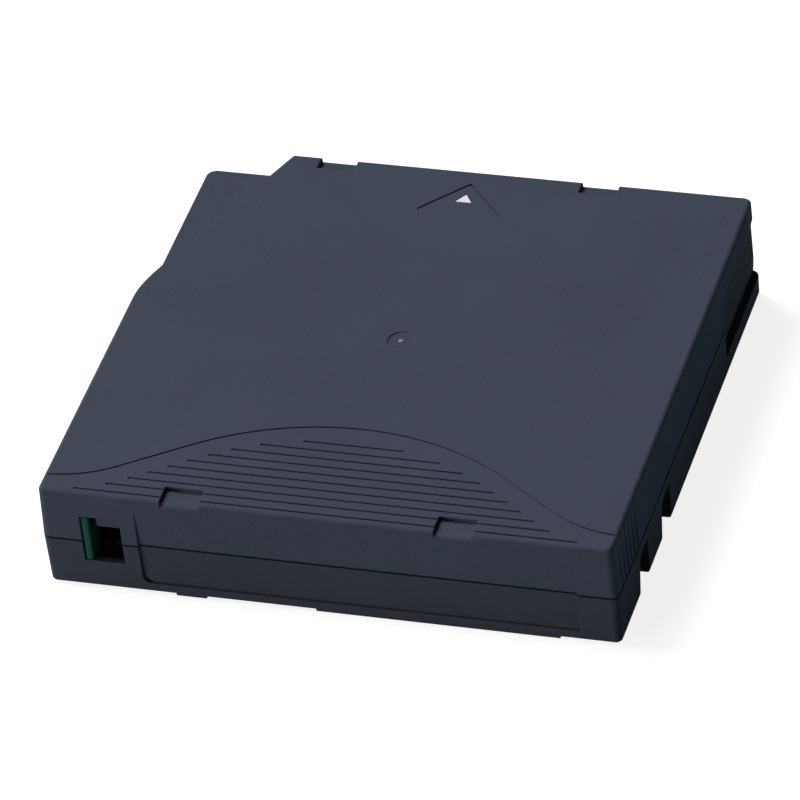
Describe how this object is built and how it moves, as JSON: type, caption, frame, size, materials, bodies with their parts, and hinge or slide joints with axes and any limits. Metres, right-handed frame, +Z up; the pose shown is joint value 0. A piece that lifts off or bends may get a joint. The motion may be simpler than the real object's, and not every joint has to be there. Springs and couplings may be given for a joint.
{
  "type": "data tape cartridge",
  "caption": "Half-inch data tape cartridge: two-part case, one toothed reel with its brake, leader pin, sliding side door and write-protect slider.",
  "frame": {"origin": "middle of the bottom face of the bounding box, under the reel's axis", "axes": "+Z up through the upper case, +Y towards the end that enters the drive, +X towards the side with the access door"},
  "size_m": [0.1054, 0.102, 0.0215],
  "materials": {
    "case_plastic": "fine spark-eroded texture",
    "lower_plastic": "fine spark-eroded texture",
    "door_plastic": "satin",
    "green_plastic": "semi-gloss",
    "reel_plastic": "satin",
    "brake_plastic": "satin",
    "tape_film": "smooth wound edge",
    "steel": "turned",
    "spring_steel": "drawn wire",
    "hub_alloy": "turned",
    "board_laminate": "solder mask",
    "chip_resin": "moulded"
  },
  "bodies": {
    "case": {"upper_case": "case_plastic", "lower_case": "lower_plastic", "case_screws": "steel", "door_spring": "spring_steel", "brake_spring": "spring_steel", "leader_pin": "steel", "leader_clip": "brake_plastic", "leader_tape": "tape_film", "pin_retaining_spring": "spring_steel", "memory_board": "board_laminate", "memory_chip": "chip_resin"},
    "door": {"access_door": "door_plastic"},
    "write_protect": {"write_protect_tab": "green_plastic"},
    "reel": {"reel_hub": "reel_plastic", "reel_upper_flange": "reel_plastic", "hub_ring": "hub_alloy", "drive_plate": "steel", "tape_pack": "tape_film"},
    "pad": {"release_pad": "brake_plastic"},
    "brake": {"brake_button": "brake_plastic"}
  },
  "joints": [
    {"name": "door_slide", "type": "slide", "parent": "case", "child": "door", "axis": [0, -1, 0], "range_m": [0, 0.024], "stiffness_N_per_m": 15, "springref_m": -0.02, "deforming": ["door_spring"]},
    {"name": "write_protect_slide", "type": "slide", "parent": "case", "child": "write_protect", "axis": [1, 0, 0], "range_m": [0, 0.0057]},
    {"name": "reel_spin", "type": "hinge", "parent": "case", "child": "reel", "pos_m": [0, 0, 0.01], "axis": [0, 0, 1], "continuous": true},
    {"name": "brake_lift", "type": "slide", "parent": "case", "child": "brake", "axis": [0, 0, 1], "range_m": [0, 0.0016], "stiffness_N_per_m": 600, "springref_m": -0.004, "deforming": ["brake_spring"]},
    {"name": "release_pad_lift", "type": "slide", "parent": "reel", "child": "pad", "axis": [0, 0, 1], "range_m": [0, 0.0016]}
  ],
  "couplings": [
    {"joint": "release_pad_lift", "follows": "brake_lift", "ratio": 1}
  ]
}
